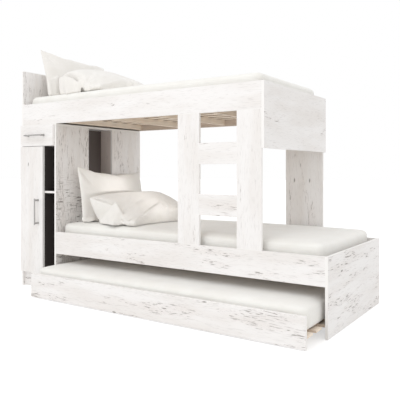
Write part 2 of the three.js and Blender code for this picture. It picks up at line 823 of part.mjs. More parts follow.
addFrames();
addLadder();
addCabinet();
addDoor();
addDrawer();
const upperSlatTop = addFixedBase('upper_slat_base', headFace, upperInnerEnd, upperRailBottom);
const lowerSlatTop = addFixedBase('lower_slat_base', cabinetWidth, lowerInnerEnd, lowerRailBottom);
const mattressFront = (overallDepth - mattressWidth) / 2;
const upperMattress = addMattress('upper_mattress', headFace + upperMattressHeadGap, mattressFront,
  upperSlatTop, upperMattressThickness);
const lowerMattress = addMattress('lower_mattress', cabinetWidth + lowerMattressHeadGap, mattressFront,
  lowerSlatTop, lowerMattressThickness);
addPillows('upper', headFace, upperMattress, upperStandingPillow, upperLyingPillow);
addPillows('lower', cabinetWidth, lowerMattress, lowerStandingPillow, lowerLyingPillow);
addTrundle();

// Origin: the middle of the footprint, on the floor, with the pull-out bed part way out
bed.position.set(-overallLength / 2, -(overallDepth - trundlePull) / 2, 0);

export default bed;
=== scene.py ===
# %% [markdown]
# # Triple bunk bed with a cabinet and a pull-out bed
# The wooden parts, the handles, the hinges and the wheels come from the imported model as they are,
# because flat boards and turned metal are exact there. What this lesson adds is the look: the
# camera and the studio, a finish for each real material, and soft mattresses and pillows in place
# of the plain solids.

# %% The imported frame
import bpy
import bmesh
import json
import math
import numpy as np
from mathutils import Matrix, Vector
from mathutils.bvhtree import BVHTree

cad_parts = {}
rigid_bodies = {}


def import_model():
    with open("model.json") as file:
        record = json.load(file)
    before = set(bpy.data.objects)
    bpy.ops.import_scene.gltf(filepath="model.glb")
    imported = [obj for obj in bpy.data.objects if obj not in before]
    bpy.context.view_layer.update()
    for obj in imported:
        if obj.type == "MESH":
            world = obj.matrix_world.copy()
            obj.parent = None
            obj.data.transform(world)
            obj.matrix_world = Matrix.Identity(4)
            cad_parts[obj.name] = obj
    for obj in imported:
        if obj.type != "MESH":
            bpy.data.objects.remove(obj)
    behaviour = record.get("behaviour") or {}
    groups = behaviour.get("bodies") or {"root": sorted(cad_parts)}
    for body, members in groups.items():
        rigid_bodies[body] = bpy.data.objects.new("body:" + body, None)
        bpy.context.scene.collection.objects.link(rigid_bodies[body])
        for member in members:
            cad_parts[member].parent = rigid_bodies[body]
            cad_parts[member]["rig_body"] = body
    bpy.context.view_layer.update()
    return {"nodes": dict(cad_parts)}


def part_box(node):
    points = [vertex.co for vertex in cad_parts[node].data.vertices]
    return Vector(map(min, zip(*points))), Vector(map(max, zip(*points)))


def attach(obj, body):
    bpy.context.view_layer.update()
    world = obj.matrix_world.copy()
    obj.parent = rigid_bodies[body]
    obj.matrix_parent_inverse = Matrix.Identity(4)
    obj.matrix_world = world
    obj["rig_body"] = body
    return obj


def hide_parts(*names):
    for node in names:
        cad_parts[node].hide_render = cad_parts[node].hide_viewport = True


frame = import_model()
nodes = frame["nodes"]
scene = bpy.context.scene


def add_object(name, data):
    """Puts a camera, a lamp or a mesh into the scene."""
    thing = bpy.data.objects.new(name, data)
    scene.collection.objects.link(thing)
    return thing


def add_mesh(name, points, faces):
    """Puts a mesh of the given points and faces into the scene."""
    mesh = bpy.data.meshes.new(name)
    mesh.from_pydata([tuple(p) for p in points], [], faces)
    return add_object(name, mesh)


# %% [markdown]
# ## Camera
# The photograph was taken from the right of the bed's foot end, a little below the middle of its
# height, with upright lines kept upright. A tilted camera could be made to fit, but then the
# posts would lean. So it looks level, and its picture is shifted down, as in a view camera.

# %% Camera
camera_data = bpy.data.cameras.new("camera")
camera_data.lens = 48.434
camera_data.sensor_width = 36
camera_data.shift_y = -0.0734
camera = add_object("camera", camera_data)
camera.location = (2.0987, -2.8659, 0.829)
camera.rotation_euler = (math.radians(90), 0, math.radians(33.843))
scene.camera = camera
scene.view_settings.view_transform = "Standard"
print("camera", camera_data.lens, "mm, level, shifted by", camera_data.shift_y)

# %% [markdown]
# ## Helpers for materials
# Every finish here is made of nodes, so short helpers save most of the typing: one adds a node,
# others do a sum, a smooth step, a mix of colours or a noise, and two make and place a node group
# with named inputs. They were chosen over a ready-made library, so that each step can be read.

# %% Node helpers
def feed(tree, node, inputs):
    """Links each given socket to the node's input of that name, or sets any other value there."""
    for name, value in inputs.items():
        if isinstance(value, bpy.types.NodeSocket):
            tree.links.new(value, node.inputs[name])
        else:
            node.inputs[name].default_value = value


def put(tree, kind, inputs=None, **settings):
    """Adds a node with its settings and its inputs."""
    node = tree.nodes.new(kind)
    for name, value in settings.items():
        setattr(node, name, value)
    feed(tree, node, inputs or {})
    return node


def work(tree, operation, *values):
    """A Math node's result."""
    return put(tree, "ShaderNodeMath", dict(enumerate(values)), operation=operation).outputs[0]


def times(tree, first, second):
    """The product of two values."""
    return work(tree, "MULTIPLY", first, second)


def vector_work(tree, operation, first, second):
    """A Vector Math node's result."""
    inputs = {0: first, 1: second}
    return put(tree, "ShaderNodeVectorMath", inputs, operation=operation).outputs[0]


def parts_of(tree, vector):
    """The x, y and z of a vector, as sockets 0, 1 and 2."""
    return put(tree, "ShaderNodeSeparateXYZ", {0: vector}).outputs


def vector_of(tree, parts):
    """A vector whose parts are given by number, 0 to 2. A part that isn't given is 0."""
    return put(tree, "ShaderNodeCombineXYZ", parts).outputs[0]


def ramp(tree, value, start, end, low=0.0, high=1.0):
    """Turns value into low at start and high at end, smoothly in between."""
    inputs = {"Value": value, "From Min": start, "From Max": end, "To Min": low, "To Max": high}
    return put(tree, "ShaderNodeMapRange", inputs, interpolation_type="SMOOTHSTEP").outputs[0]


def blend_colour(tree, share, first, second):
    """The first colour at share 0 and the second at share 1."""
    inputs = {0: share, 6: first, 7: second}
    return put(tree, "ShaderNodeMix", inputs, data_type="RGBA").outputs[2]


def tinted(tree, colour, share, strength, tint):
    """A colour with some of the tint: as much as share times strength says."""
    return blend_colour(tree, times(tree, share, strength), colour, tint)


def noise(tree, vector, scale, detail=2.0, roughness=0.5, distortion=0.0):
    """Noise over a vector that is first stretched by scale, three numbers per metre."""
    inputs = {"Vector": vector_work(tree, "MULTIPLY", vector, scale), "Scale": 1.0,
              "Detail": detail, "Roughness": roughness, "Distortion": distortion}
    return put(tree, "ShaderNodeTexNoise", inputs).outputs["Fac"]


def new_group(name, numbers, outputs):
    """A node group that works on a place: its tree, its inputs as sockets, and a function that
    sets an output. numbers holds its other inputs and what they are if nothing is given."""
    tree = bpy.data.node_groups.new(name, "ShaderNodeTree")
    new_socket = tree.interface.new_socket
    new_socket("Place", in_out="INPUT", socket_type="NodeSocketVector")
    for title, value in numbers.items():
        number = new_socket(title, in_out="INPUT", socket_type="NodeSocketFloat")
        number.default_value = value
    for title in outputs:
        new_socket(title, in_out="OUTPUT", socket_type="NodeSocketFloat")
    given = tree.nodes.new("NodeGroupInput").outputs
    result = tree.nodes.new("NodeGroupOutput").inputs
    return tree, given, lambda title, socket: tree.links.new(socket, result[title])


def use_group(tree, group, inputs):
    """Places a node group in a material and returns its outputs."""
    return put(tree, "ShaderNodeGroup", inputs, node_tree=group).outputs


def rgb(red, green, blue):
    """A colour as it is picked on a screen, 0 to 255, in the linear values of Blender."""
    def linear(v):
        v /= 255
        return v / 12.92 if v <= 0.04045 else ((v + 0.055) / 1.055) ** 2.4
    return (linear(red), linear(green), linear(blue), 1.0)


def empty_tree(owner):
    """The node tree of a material or a world, with nothing in it."""
    owner.use_nodes = True
    owner.node_tree.nodes.clear()
    return owner.node_tree


def new_material(name):
    """A material, its tree and shader, and the place and the normal of a point of its piece."""
    material = bpy.data.materials.new(name)
    tree = empty_tree(material)
    shader = put(tree, "ShaderNodeBsdfPrincipled")
    put(tree, "ShaderNodeOutputMaterial", {0: shader.outputs[0]})
    point = put(tree, "ShaderNodeTexCoord").outputs
    return material, tree, shader, point["Object"], point["Normal"]


def bump(tree, height, distance):
    """A shading normal from a height, which is distance metres tall at 1."""
    inputs = {"Height": height, "Distance": distance, "Strength": 1.0}
    return put(tree, "ShaderNodeBump", inputs).outputs[0]


print("node helpers ready")

# %% [markdown]
# ## Floor and background
# The photograph shows the bed on pure white. A lamp that bleaches the floor would bleach the
# white boards too, so the floor is only brightened for the camera: what it throws back onto the
# bed stays that of a pale floor, and the bed still shades it. Past the floor, and where metal
# mirrors the room, the world is white.

# %% Floor and world
def shown_as(tree, plain, seen):
    """The seen shader for the camera and in mirrors, the plain one for all other light."""
    rays = put(tree, "ShaderNodeLightPath").outputs
    mirrored = work(tree, "MAXIMUM", rays["Is Glossy Ray"], rays["Is Transmission Ray"])
    looked_at = work(tree, "MAXIMUM", rays["Is Camera Ray"], mirrored)
    inputs = {0: looked_at, 1: plain.outputs[0], 2: seen.outputs[0]}
    return put(tree, "ShaderNodeMixShader", inputs).outputs[0]


floor_reach = 40
corners = [(x * floor_reach, y * floor_reach, 0)
           for x, y in ((-1, -1), (1, -1), (1, 1), (-1, 1))]
floor = add_mesh("floor", corners, [(0, 1, 2, 3)])

floor_material = bpy.data.materials.new("floor_paper")
tree = empty_tree(floor_material)
paper = put(tree, "ShaderNodeBsdfDiffuse", {"Color": rgb(238, 237, 235)})
shaded = put(tree, "ShaderNodeBsdfDiffuse", {"Color": (0.62, 0.62, 0.62, 1)})
glow = put(tree, "ShaderNodeEmission", {"Color": (1, 1, 1, 1), "Strength": 0.59})
bright = put(tree, "ShaderNodeAddShader", {0: shaded.outputs[0], 1: glow.outputs[0]})
put(tree, "ShaderNodeOutputMaterial", {0: shown_as(tree, paper, bright)})
floor.data.materials.append(floor_material)

world = bpy.data.worlds.new("studio")
scene.world = world
tree = empty_tree(world)
soft_light = put(tree, "ShaderNodeBackground", {"Color": (1, 1, 1, 1), "Strength": 0.93})
white = put(tree, "ShaderNodeBackground", {"Color": (1, 1, 1, 1), "Strength": 1.0})
put(tree, "ShaderNodeOutputWorld", {0: shown_as(tree, soft_light, white)})
print("floor and world ready")

# %% [markdown]
# ## Studio light
# The fronts of the boards are almost white and the sides that face the foot end are a shade
# greyer, and there are hardly any shadows. That is the light of a bright room with large soft
# lamps in front of the bed, one high and one at the height of the upper bunk. The world does
# most of the work and these two the rest. The deep lower bunk gets a little light of its own: a
# weak, narrow lamp shines in at the foot end, at the pillows and not at the boards.

# %% Lamps
def soft_lamp(name, place, target, size, power, spread=180):
    """A round lamp turned to its target. spread is the angle that it lights, in degrees."""
    data = bpy.data.lights.new(name, "AREA")
    data.shape = "DISK"
    data.size = size
    data.energy = power
    data.spread = math.radians(spread)
    lamp = add_object(name, data)
    lamp.location = place
    lamp.rotation_euler = (Vector(target) - Vector(place)).to_track_quat("-Z", "Y").to_euler()


soft_lamp("high_lamp", place=(0.2, -3.6, 4.4), target=(0, -0.3, 0.5), size=2.6, power=29)
soft_lamp("low_lamp", place=(-0.4, -5.2, 1.5), target=(0, 0, 0.8), size=3.0, power=18)
soft_lamp("bunk_lamp", place=(3.2, -0.20, 0.70), target=(-0.5, 0.05, 0.68), size=0.2, power=0.16,
          spread=8)
print("three lamps")

# %% [markdown]
# ## The printed wood pattern
# The boards are coated with a white paper that is printed like brushed, weathered pine: short
# broken grey-brown dashes that run with the grain and gather in bands, and here and there a
# small dark knot. A picture of wood would repeat. Here noise that is stretched along the grain
# makes the dashes, slow noise decides where they gather, and cells place the knots. Many boards
# use it, so it is a group. It works on a place given as along, across and through the board.

# %% Group for the printed wood
wood_print, given, give = new_group(
    "printed_wood", {"Shift": 0.0, "Plenty": 0.5, "Saw marks": 0.0},
    ["Dashes", "Knots", "Bands", "Clouds", "Relief"],
)
tree = wood_print
# Each board starts elsewhere in the print, and its grain wanders a little.
shift = vector_of(tree, {part: given["Shift"] for part in range(3)})
spot = vector_work(tree, "ADD", given["Place"], shift)
wander = times(tree, noise(tree, spot, (5, 12, 4)), 0.03)
spot = vector_work(tree, "ADD", spot, vector_of(tree, {1: wander}))
# Dashes and finer hairs show in the bands where they gather.
dash = ramp(tree, noise(tree, spot, (20, 210, 30), 2.5, 0.55, 0.3), 0.545, 0.66)
hair = ramp(tree, noise(tree, spot, (60, 620, 60), 2.0, 0.6, 0.2), 0.55, 0.75)
limit = work(tree, "SUBTRACT", 0.72, times(tree, given["Plenty"], 0.3))
band = ramp(tree, noise(tree, spot, (3.0, 17, 6), 1.5, 0.6), limit, work(tree, "ADD", limit, 0.12))
give("Bands", band)
marks = work(tree, "MAXIMUM", dash, times(tree, hair, 0.45))
marks = times(tree, marks, band)
# Saw marks cross the grain in patches and push the dashes back.
saw = ramp(tree, noise(tree, spot, (130, 18, 30), 2.0, 0.5, 0.2), 0.54, 0.66)
patch = ramp(tree, noise(tree, spot, (9, 5, 5), 1.0), 0.42, 0.55)
saw = times(tree, times(tree, saw, patch), given["Saw marks"])
marks = times(tree, marks, ramp(tree, saw, 0.0, 0.3, 1.0, 0.3))
marks = work(tree, "MAXIMUM", marks, saw)
give("Dashes", work(tree, "MAXIMUM", marks, times(tree, dash, 0.16)))
# Cells that are picked by their random colour have a knot in the middle.
cell_place = vector_work(tree, "MULTIPLY", spot, (5, 14, 2))
cells = put(tree, "ShaderNodeTexVoronoi", {"Vector": cell_place, "Scale": 1.0}).outputs
picked = put(tree, "ShaderNodeSeparateColor", {0: cells["Color"]}).outputs[0]
picked = work(tree, "GREATER_THAN", picked, 0.72)
knot = times(tree, ramp(tree, cells["Distance"], 0.11, 0.03), picked)
give("Knots", knot)
give("Clouds", noise(tree, spot, (1.6, 9, 3), 2.0, 0.6))
fibres = noise(tree, spot, (30, 900, 60), 2.0, 0.6)
give("Relief", work(tree, "SUBTRACT", fibres, work(tree, "MAXIMUM", marks, knot)))
print("group", wood_print.name)

# %% [markdown]
# ## White boards
# Each board carries the print on its two wide faces, along the length of the piece: lengthwise
# on the rails, the end boards and the rungs, upright on the posts, the door and the side panels.
# Its edges have a plain white band, as on any coated board. So a board's finish has to know its
# grain direction and its thin direction, and each board gets its own, shifted in the print, or
# neighbours would show the same marks. The direction that a face looks in tells it from an edge.

# %% White board finish
board_white, band_white = rgb(247, 245, 244), rgb(248, 246, 244)
shade_white, tinge_white = rgb(238, 234, 231), rgb(234, 224, 219)
mark_colour, knot_colour = rgb(104, 91, 83), rgb(88, 75, 67)
# Unprinted wood darkened as painted shade, for the face of a rear rail under its slats.
shaded_bare_wood = rgb(212, 197, 184)


def board_place(tree, place, grain, thin):
    """The place on a board as along, across and through it."""
    parts = parts_of(tree, place)
    across = next(axis for axis in "xyz" if axis not in (grain, thin))
    order = [parts["xyz".index(axis)] for axis in (grain, across, thin)]
    return vector_of(tree, dict(enumerate(order)))


def wide_face(tree, normal, thin, one_side=False):
    """1 on both wide faces of a board, or only on the one that looks along its thin axis, and
    0 on its edges."""
    facing = parts_of(tree, normal)["xyz".index(thin)]
    if not one_side:
        facing = work(tree, "ABSOLUTE", facing)
    return ramp(tree, facing, 0.8, 0.95)


def board_finish(name, grain, thin, shift, plenty, saw, bare):
    """Printed white paper on the wide faces, a plain band on the edges. saw is two heights: no saw
    marks above the first, all of them below the second. If a height is given last, the side that
    faces the front is, below it, unprinted wood in painted shade: brown darkened for the shade
    under the slats."""
    material, tree, shader, place, normal = new_material("white_board_" + name)
    height = parts_of(tree, place)[2]
    sawn = 0.0
    if saw:
        none_above, all_below = saw
        sawn = ramp(tree, height, all_below, none_above, 1.0, 0.0)
    wood = use_group(tree, wood_print, {"Place": board_place(tree, place, grain, thin),
                                        "Shift": shift, "Plenty": plenty, "Saw marks": sawn})
    cloud = ramp(tree, wood["Clouds"], 0.35, 0.75)
    colour = blend_colour(tree, cloud, board_white, shade_white)
    colour = tinted(tree, colour, wood["Bands"], 0.12, tinge_white)
    colour = tinted(tree, colour, wood["Dashes"], 0.7, mark_colour)
    colour = tinted(tree, colour, wood["Knots"], 0.75, knot_colour)
    if bare:
        # Painted shade: below that height the face towards the front turns to unprinted wood,
        # darkened for the shade under the slats.
        forward = ramp(tree, parts_of(tree, normal)[1], -0.8, -0.95)
        inside = times(tree, forward, work(tree, "LESS_THAN", height, bare))
        raw = tinted(tree, shaded_bare_wood, wood["Dashes"], 0.4, mark_colour)
        colour = blend_colour(tree, inside, colour, raw)
    face = wide_face(tree, normal, thin)
    feed(tree, shader, {
        "Base Color": blend_colour(tree, face, band_white, colour),
        "Roughness": ramp(tree, wood["Relief"], -0.5, 0.8, 0.55, 0.42),
        "Normal": bump(tree, times(tree, wood["Relief"], face), 0.0002),
        "Specular IOR Level": 0.35,
    })
    return material


def dress(node_name, material):
    """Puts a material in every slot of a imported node."""
    for slot in nodes[node_name].material_slots:
        slot.material = material


# Each board's grain direction and thin direction.
boards = dict(head_panel="zx", upper_front_rail="xy", upper_rear_rail="xy", upper_end_board="yx",
              lower_front_rail="xy", lower_rear_rail="xy", foot_panel="yx", rear_leg_panel="zy",
              ladder_post_left="zy", ladder_post_right="zy", ladder_rung_1="xy", ladder_rung_2="xy",
              cabinet_side_front="zx", cabinet_side_rear="zx", cabinet_top="yz",
              cabinet_bottom="yz", cabinet_plinth="xy", drawer_deck="yz", niche_back="zy",
              recess_wall="zy", niche_shelf="xz", recess_shelf="yz", wardrobe_shelf="xz",
              cabinet_divider="zx", door_panel="zy", drawer_front="xy", drawer_side_left="yx",
              drawer_side_right="yx", drawer_back="xy", trundle_front_board="xy",
              trundle_rear_board="xy")
# How full of marks each board's print is. The foot panel's extra marks are partly its own print and
# partly painted shade that darkens the whole panel.
plenty_of = dict(cabinet_side_front=0.9, head_panel=0.95, trundle_front_board=0.85,
                 foot_panel=0.78, door_panel=0.15, drawer_front=0.15, lower_front_rail=0.6,
                 rear_leg_panel=0.75, cabinet_side_rear=0.6)
saw_marks_of = dict(cabinet_side_front=(0.86, 0.66), cabinet_side_rear=(0.5, 0.3))
# Heights below which a rear rail's face towards the front gets the brown painted shade of its
# slats.
shaded_bare_under = dict(upper_rear_rail=1.218, lower_rear_rail=0.320)
for number, (name, (grain, thin)) in enumerate(boards.items()):
    shift = 3.7 * number + 1.3
    dress(name, board_finish(name, grain, thin, shift, plenty_of.get(name, 0.5),
                             saw_marks_of.get(name), shaded_bare_under.get(name)))
print(len(boards), "white boards")

# %% [markdown]
# ## Lining of the niche and the recess
# Inside the open niche the photograph shows dark grey boards with a faint brown tone, while the
# shelf edges stay white. The side recess is dark too, mostly because little light gets in, and its
# boards get a greyer paper as painted shade on top of that. Both use the same group as the white
# boards. The divider is lined towards the niche and the recess and white towards the door
# compartment; behind the recess its lining is a grey-brown painted shade, lighter than the niche's
# dark paper.

# %% Lining
# The niche's dark grey is the boards' own colour. The recess's grey and the divider's grey-brown
# behind the recess are painted shade.
lining_dark, recess_shade_grey, recess_painted_shade = rgb(62, 57, 55), rgb(222, 211, 205), rgb(98, 90, 87)
lining_mark = rgb(40, 34, 31)
recess_front = -0.035


def lining_finish(name, grain, thin, shift, paper, one_side):
    """Printed board with a darker paper and white edges; the recess's greyer paper is painted
    shade. one_side lines only the face that looks along the thin axis, and behind the recess it
    paints a grey-brown shade there, lighter than the niche's paper."""
    material, tree, shader, place, normal = new_material("lining_" + name)
    wood = use_group(tree, wood_print, {"Place": board_place(tree, place, grain, thin),
                                        "Shift": shift, "Plenty": 0.6})
    if one_side:
        depth = parts_of(tree, place)[1]
        # Painted shade: behind the recess the divider's face takes the recess's grey-brown shade.
        in_recess = work(tree, "GREATER_THAN", depth, recess_front)
        paper = blend_colour(tree, in_recess, paper, recess_painted_shade)
    dark = tinted(tree, paper, wood["Dashes"], 0.35, lining_mark)
    face = wide_face(tree, normal, thin, one_side)
    feed(tree, shader, {
        "Base Color": blend_colour(tree, face, band_white, dark),
        "Roughness": ramp(tree, wood["Relief"], -0.5, 0.8, 0.6, 0.48),
        "Normal": bump(tree, wood["Relief"], 0.0002),
        "Specular IOR Level": 0.3,
    })
    return material


linings = dict(niche_back=lining_dark, recess_wall=recess_shade_grey, niche_shelf=lining_dark,
               recess_shelf=recess_shade_grey, cabinet_divider=lining_dark)
for number, (name, paper) in enumerate(linings.items()):
    grain, thin = boards[name]
    shift = 2.1 * number + 0.4
    one_side = name == "cabinet_divider"
    dress(name, lining_finish(name, grain, thin, shift, paper, one_side))
print("lining in the niche and the recess")

# %% [markdown]
# ## Pine slats
# The slatted bases are raw pine: warm, with growth lines along each slat, a few small knots and no
# varnish. Seen from below the upper bed they are the only warm colour of the bed. Growth lines are
# noise that is stretched far along the slat, so that it reads as fibres. From below, the gaps
# between the slats read as dark dashes: there one sees their long edges, sawn wood a little browner
# than the planed faces, painted much darker as the shade in the narrow gaps. The pull-out bed's
# edges, out in the open, get a paler colour with less painted shade.

# %% Pine
pine_light, pine_dark, pine_pale = rgb(250, 238, 222), rgb(233, 213, 193), rgb(252, 244, 232)
# The first colour is for the slats' long edges: sawn wood darkened as painted shade of the gaps.
shaded_pine_edge, pine_knot = rgb(160, 132, 106), rgb(134, 98, 70)
slat_thickness, slat_gap = 0.015, 0.0005
strips_per_metre = 9.0


def pine_finish(node_name, edge_shade_colour):
    """Raw pine for one slatted base: the slats on top run lengthwise, the bars under them across.
    The long edges of the slats have a colour of their own: sawn wood a little browner, darkened as
    painted shade of the gaps."""
    material, tree, shader, place, normal = new_material("raw_pine_" + node_name)
    parts = parts_of(tree, place)
    slats_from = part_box(node_name)[1].z - slat_thickness - slat_gap
    on_top = work(tree, "GREATER_THAN", parts[2], slats_from)
    number = work(tree, "FLOOR", times(tree, parts[1], strips_per_metre))
    along = work(tree, "ADD", parts[0], times(tree, number, 1.7))
    slat = vector_of(tree, {0: along, 1: parts[1], 2: parts[2]})
    bar = vector_of(tree, {0: parts[1], 1: parts[2], 2: parts[0]})
    inputs = {0: on_top, 4: bar, 5: slat}
    lengthwise = put(tree, "ShaderNodeMix", inputs, data_type="VECTOR").outputs[1]
    rings = noise(tree, lengthwise, (2.5, 140, 140), 3.0, 0.6, 0.4)
    slow = noise(tree, lengthwise, (1.2, 14, 20), 1.0)
    wood = use_group(tree, wood_print, {"Place": lengthwise, "Shift": 5.2, "Plenty": 0.4})
    colour = blend_colour(tree, ramp(tree, rings, 0.35, 0.68), pine_light, pine_dark)
    colour = blend_colour(tree, ramp(tree, slow, 0.4, 0.7, 0.0, 0.35), colour, pine_pale)
    colour = blend_colour(tree, wood["Knots"], colour, pine_knot)
    # Painted shade: the long edges of the slats on top take the darker edge colour of the gaps.
    sideways = work(tree, "ABSOLUTE", parts_of(tree, normal)[1])
    edge = times(tree, ramp(tree, sideways, 0.5, 0.9), on_top)
    feed(tree, shader, {
        "Base Color": blend_colour(tree, edge, colour, edge_shade_colour),
        "Roughness": ramp(tree, rings, 0.3, 0.7, 0.62, 0.74),
        "Normal": bump(tree, rings, 0.0004),
    })
    return material


# Edge colours: dark painted shade in the gaps of the two bunks, paler on the pull-out bed out in
# the open.
slatted_bases = dict(upper_slat_base=shaded_pine_edge, lower_slat_base=shaded_pine_edge,
                     trundle_slat_base=pine_dark)
for name, edge_shade_colour in slatted_bases.items():
    dress(name, pine_finish(name, edge_shade_colour))
print("pine on three slatted bases")

# %% [markdown]
# ## Hardboard, metal, plastic and rubber
# The cabinet's back and the drawer's bottom are thin fibre board with a pale front. The handles
# are brushed metal, a satin grey with fine lines along the bar. Hinges and wheel brackets are
# plated steel with a cloudy shine, the runners matt white plastic, and the wheels grey rubber.
# Each has its own small unevenness, because a perfectly even surface looks like none of them.

# %% Small finishes
def cloudy_finish(name, colours, scale, metallic, rough_low, rough_high, height):
    """A finish whose colour and gloss vary in soft clouds of the given scale."""
    material, tree, shader, place, _ = new_material(name)
    clouds = noise(tree, place, scale, 4.0, 0.6)
    feed(tree, shader, {
        "Base Color": blend_colour(tree, ramp(tree, clouds, 0.3, 0.7), *colours),
        "Roughness": ramp(tree, clouds, 0.3, 0.7, rough_low, rough_high),
        "Normal": bump(tree, clouds, height),
        "Metallic": metallic,
    })
    return material


fibre_colours = rgb(232, 226, 219), rgb(206, 195, 182)
steel_colours = rgb(196, 197, 199), rgb(160, 162, 166)
plastic_colours = rgb(232, 231, 228), rgb(218, 217, 213)
rubber_colours = rgb(92, 92, 93), rgb(74, 74, 76)
brushed_colours = rgb(192, 190, 188), rgb(150, 148, 146)
# Each finish: its colours, clouds per metre, metallic, roughness from and to, and relief.
finishes = {name: cloudy_finish(name, *values) for name, values in {
    "fibre_board": (fibre_colours, (420, 420, 420), 0, 0.6, 0.8, 0.0002),
    "plated_steel": (steel_colours, (60, 60, 60), 1, 0.28, 0.45, 0.00005),
    "matt_plastic": (plastic_colours, (900, 900, 900), 0, 0.4, 0.55, 0.00005),
    "grey_rubber": (rubber_colours, (500, 500, 500), 0, 0.65, 0.85, 0.0001),
    "brushed_metal_door": (brushed_colours, (2500, 2500, 25), 1, 0.3, 0.5, 0.00004),
    "brushed_metal_drawer": (brushed_colours, (25, 2500, 2500), 1, 0.3, 0.5, 0.00004),
}.items()}
dress("door_handle", finishes["brushed_metal_door"])
dress("drawer_handle", finishes["brushed_metal_drawer"])
dress("cabinet_back", finishes["fibre_board"])
dress("drawer_bottom", finishes["fibre_board"])
for name in nodes:
    if name.startswith(("hinge_", "wheel_bracket")):
        dress(name, finishes["plated_steel"])
    elif name.startswith("wheel_"):
        dress(name, finishes["grey_rubber"])
    elif name.startswith("drawer_runner"):
        dress(name, finishes["matt_plastic"])
print("small finishes on fittings")

# %% [markdown]
# ## Threads
# Close up, cloth shows threads that go over and under each other; from afar only a soft, uneven
# tone. The threads are waves along all three directions, so that they follow any side of a
# cushion and need no unwrapping. Both fabrics use them, so they are a group.

# %% Group for woven threads
weave, given, give = new_group("woven_threads", {"Threads per metre": 700.0},
                               ["Threads", "Clouds"])
tree = weave
wobble = times(tree, noise(tree, given["Place"], (60, 60, 60), 2.0), 3.0)
turns = times(tree, given["Threads per metre"], 2 * math.pi)
waves = [work(tree, "SINE", work(tree, "ADD", times(tree, part, turns), wobble))
         for part in parts_of(tree, given["Place"])]
threads = work(tree, "ADD", work(tree, "ADD", waves[0], waves[1]), waves[2])
give("Threads", ramp(tree, threads, -2.0, 2.0))
give("Clouds", noise(tree, given["Place"], (9, 9, 9), 3.0, 0.55))
print("group", weave.name)

# %% [markdown]
# ## Fabric
# The mattress covers are a fine off-white knit, with the underside painted dark brown as the shade
# between the slats, and the pillow cases a plain cotton weave, slightly greyer. Both have a little
# sheen and hardly any gloss, as fuzzy cloth has.

# %% Fabric finishes
thread_height = 0.0002
between_threads = rgb(212, 208, 202)


def fabric_finish(name, colour, second, threads, sheen, under=None):
    """Soft cloth with threads, an uneven tone and a little sheen; under is a dark brown painted on
    the downward faces, as the shade between the slats."""
    material, tree, shader, place, normal = new_material(name)
    cloth = use_group(tree, weave, {"Place": place, "Threads per metre": threads})
    tone = blend_colour(tree, ramp(tree, cloth["Clouds"], 0.3, 0.7), colour, second)
    shadow = ramp(tree, cloth["Threads"], 0.0, 1.0, 0.1, 0.0)
    tone = blend_colour(tree, shadow, tone, between_threads)
    if under:
        # Painted shade: the downward faces take the dark brown under colour.
        shaded_downward = ramp(tree, parts_of(tree, normal)[2], -0.7, -0.9)
        tone = blend_colour(tree, shaded_downward, tone, under)
    feed(tree, shader, {
        "Base Color": tone,
        "Roughness": ramp(tree, cloth["Threads"], 0.0, 1.0, 0.95, 0.85),
        "Normal": bump(tree, cloth["Threads"], thread_height),
        "Sheen Weight": sheen,
        "Specular IOR Level": 0.2,
    })
    return material


# The mattress underside's dark brown is painted shade, for the shade between the slats.
mattress_fabric = fabric_finish("mattress_knit", rgb(249, 248, 244), rgb(245, 243, 238),
                                threads=420, sheen=0.5, under=rgb(126, 110, 94))
pillow_fabric = fabric_finish("pillow_cotton", rgb(247, 244, 240), rgb(242, 239, 234),
                              threads=800, sheen=0.4)
print("two fabrics")

# %% [markdown]
# ## Padding with cloth simulation
# A cover that is filled too full stretches over its filling and rounds itself, with small
# creases where seams hold it back. Modelling that by hand is slow and looks stiff. So each soft
# piece starts a little too slim and is blown up from inside with Blender's Cloth, with gravity
# off. How far a point may move is capped, so that it can't leave its place between its
# neighbours. The result is read back into the mesh and the modifier goes.

# %% Cloth helpers
def points_of(piece):
    """The mesh's points as an array."""
    points = np.empty(len(piece.data.vertices) * 3)
    piece.data.vertices.foreach_get("co", points)
    return points.reshape(-1, 3)


def set_points(piece, points):
    """Moves the mesh's points to the places in an array."""
    piece.data.vertices.foreach_set("co", np.ascontiguousarray(points, float).ravel())
    piece.data.update()


def baked(piece):
    """Replaces a piece's mesh by the one its modifiers make, and drops the modifiers."""
    graph = bpy.context.evaluated_depsgraph_get()
    mesh = bpy.data.meshes.new_from_object(piece.evaluated_get(graph), depsgraph=graph)
    piece.modifiers.clear()
    piece.data = mesh
    return piece


def add_squares(piece, size):
    """Adds the modifier that remeshes a piece into even squares."""
    squares = piece.modifiers.new("squares", "REMESH")
    squares.mode = "VOXEL"
    squares.voxel_size = size


def weight_group(piece, name, weights):
    """A vertex group from the weights of points, given by their numbers."""
    group = piece.vertex_groups.new(name=name)
    for index, weight in weights.items():
        group.add([index], float(weight), "REPLACE")
    return name


